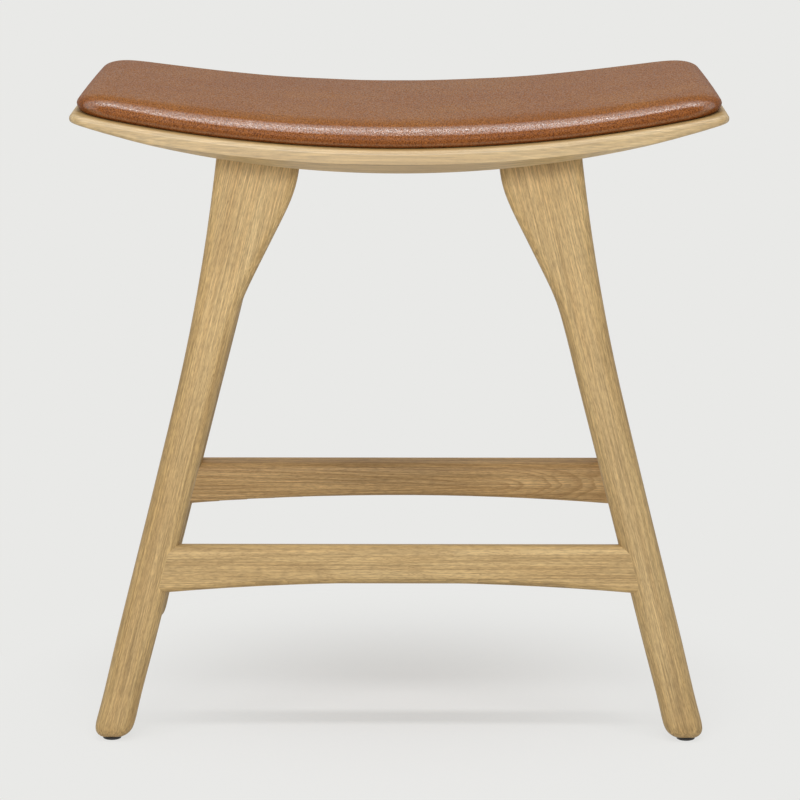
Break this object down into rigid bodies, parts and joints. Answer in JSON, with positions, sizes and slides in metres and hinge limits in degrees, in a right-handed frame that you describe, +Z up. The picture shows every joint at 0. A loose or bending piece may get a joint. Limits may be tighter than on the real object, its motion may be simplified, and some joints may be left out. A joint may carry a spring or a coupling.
{
  "type": "low stool",
  "caption": "Low stool with a saddle-curved oak seat, a thin leather pad and splayed oak legs joined by arched stretchers.",
  "frame": {"origin": "centre of the footprint on the floor", "axes": "+X across the seat to the right, +Y to the back, +Z up; the front of the stool faces -Y"},
  "size_m": [0.4934, 0.363, 0.4936],
  "materials": {
    "oak_seat": "satin oil",
    "oak_frame": "satin oil",
    "beech_dowel": "raw",
    "plywood": "raw",
    "cognac_leather": "fine grain, satin",
    "foam": "open cell foam",
    "zinc_steel": "zinc plated",
    "black_glide": "matte"
  },
  "bodies": {
    "root": {"seat_plate": "oak_seat", "front_left_leg": "oak_frame", "front_right_leg": "oak_frame", "back_left_leg": "oak_frame", "back_right_leg": "oak_frame", "front_stretcher": "oak_frame", "back_stretcher": "oak_frame", "left_side_rail": "oak_frame", "right_side_rail": "oak_frame", "rail_dowels": "beech_dowel", "cushion_cover": "cognac_leather", "cushion_foam": "foam", "cushion_board": "plywood", "cover_staples": "zinc_steel", "seat_screws": "zinc_steel", "pad_screws": "zinc_steel", "tee_nuts": "zinc_steel", "glide_nails": "zinc_steel", "front_left_glide": "black_glide", "front_right_glide": "black_glide", "back_left_glide": "black_glide", "back_right_glide": "black_glide"}
  },
  "joints": []
}
